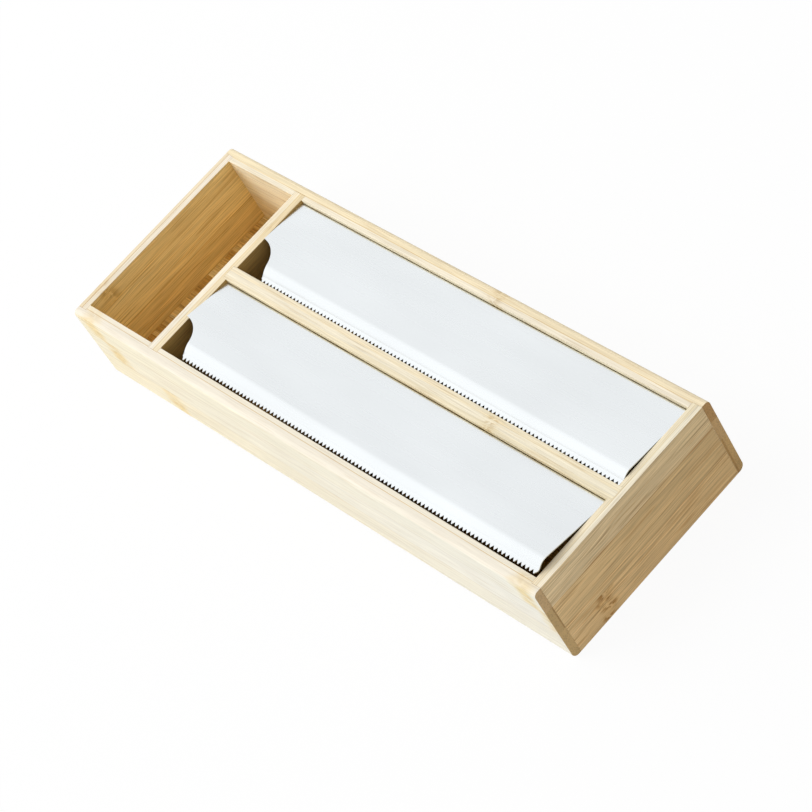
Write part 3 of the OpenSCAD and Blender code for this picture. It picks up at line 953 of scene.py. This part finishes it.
def studio_world(fill):
    """White all round to the lens and to the steel, with a glow by the key light. Fill to all else."""
    world = bpy.data.worlds.new("studio")
    world.use_nodes = True
    tree = world.node_tree
    tree.nodes.clear()
    path = add(tree, "ShaderNodeLightPath").outputs
    bounced = add(tree, MATH, path["Is Glossy Ray"], path["Is Transmission Ray"], operation="MAXIMUM")
    direct = add(tree, MATH, path["Diffuse Depth"], 0.5, operation="LESS_THAN")
    mirrored = add(tree, MATH, bounced, direct, operation="MULTIPLY")
    seen = add(tree, MATH, mirrored, path["Is Camera Ray"], operation="MAXIMUM")
    level = add(tree, RANGE, seen, 0.0, 1.0, fill, 1.0)
    ray = add(tree, "ShaderNodeTexCoord").outputs["Generated"]
    to_key = add(tree, "ShaderNodeVectorMath", ray, KEY_PLACE.normalized(), operation="DOT_PRODUCT")
    glow = add(tree, RANGE, to_key, *GLOW_RANGE, 0.0, GLOW, **SOFT)
    strength = add(tree, MATH, mirrored, glow, level, operation="MULTIPLY_ADD")
    sky = add(tree, "ShaderNodeBackground", named={"Color": (1, 1, 1, 1), "Strength": strength})
    add(tree, "ShaderNodeOutputWorld", named={"Surface": sky})
    return world


def key_softbox(power):
    """Large softbox, which the steel doesn't mirror because the world's glow stands in for it there."""
    lamp = bpy.data.lights.new("key_softbox", "AREA")
    lamp.energy, lamp.shape, lamp.size = power, "SQUARE", KEY_SIZE
    holder = bpy.data.objects.new("key_softbox", lamp)
    holder.location = KEY_PLACE
    holder.rotation_euler = (-KEY_PLACE).to_track_quat("-Z", "Y").to_euler()
    holder.visible_glossy = False
    return holder


def studio_camera(lens):
    """Camera at its place, aimed at the box and rolled."""
    camera = bpy.data.objects.new("camera", bpy.data.cameras.new("camera"))
    camera.data.lens = lens
    camera.data.sensor_width = SENSOR
    level = (LENS_AIM - LENS_PLACE).to_track_quat("-Z", "Y")
    camera.location = LENS_PLACE
    camera.rotation_euler = (level @ Quaternion((0, 0, 1), LENS_ROLL)).to_euler()
    return camera


class DISPENSER_OT_stage(bpy.types.Operator):
    """Lay the floor, hang the lights and set the camera"""
    bl_idname = "dispenser.stage"
    bl_label = "Stage"

    def execute(self, context):
        scene = context.scene
        stage = scene.dispenser_stage
        work = bmesh.new()
        bmesh.ops.create_grid(work, x_segments=1, y_segments=1, size=FLOOR_HALF)
        bmesh.ops.translate(work, verts=work.verts, vec=(0, 0, -FLOOR_DROP))
        mesh = bpy.data.meshes.new("floor")
        work.to_mesh(mesh)
        work.free()
        show_mesh("floor", mesh, studio_floor(stage.floor_colour))
        scene.world = studio_world(stage.fill)
        scene.collection.objects.link(key_softbox(stage.key_power))
        scene.camera = studio_camera(stage.lens)
        scene.collection.objects.link(scene.camera)
        scene.view_settings.view_transform = "Standard"
        return {"FINISHED"}


class DISPENSER_PT_panel(bpy.types.Panel):
    """Steps that dress the dispenser, with their sizes and colours"""
    bl_idname = "DISPENSER_PT_panel"
    bl_label = "Cling film dispenser"
    bl_space_type = "VIEW_3D"
    bl_region_type = "UI"
    bl_category = "Dispenser"

    def draw(self, context):
        for step in STEPS:
            self.layout.operator(step.bl_idname)
        for group in GROUPS:
            box = self.layout.box()
            owner = getattr(context.scene, group)
            for field in GROUPS[group].__annotations__:
                box.prop(owner, field)


STEPS = (
    DISPENSER_OT_boards,
    DISPENSER_OT_floor_panel,
    DISPENSER_OT_flaps,
    DISPENSER_OT_hinges,
    DISPENSER_OT_stage,
)
GROUPS = {
    "dispenser_wood": DispenserWood,
    "dispenser_steel": DispenserSteel,
    "dispenser_stage": DispenserStage,
}


def register():
    """Make the settings, steps and panel known to Blender."""
    for kind in (*GROUPS.values(), *STEPS, DISPENSER_PT_panel):
        bpy.utils.register_class(kind)
    for name, kind in GROUPS.items():
        setattr(bpy.types.Scene, name, PointerProperty(type=kind))


def unregister():
    """Take them out again."""
    for name in GROUPS:
        delattr(bpy.types.Scene, name)
    for kind in reversed((*GROUPS.values(), *STEPS, DISPENSER_PT_panel)):
        bpy.utils.unregister_class(kind)


def main():
    """Dress the CAD model and set the stage."""
    register()
    bpy.ops.dispenser.boards()
    bpy.ops.dispenser.floor_panel()
    bpy.ops.dispenser.flaps()
    bpy.ops.dispenser.hinges()
    bpy.ops.dispenser.stage()


if __name__ == "__main__":
    main()
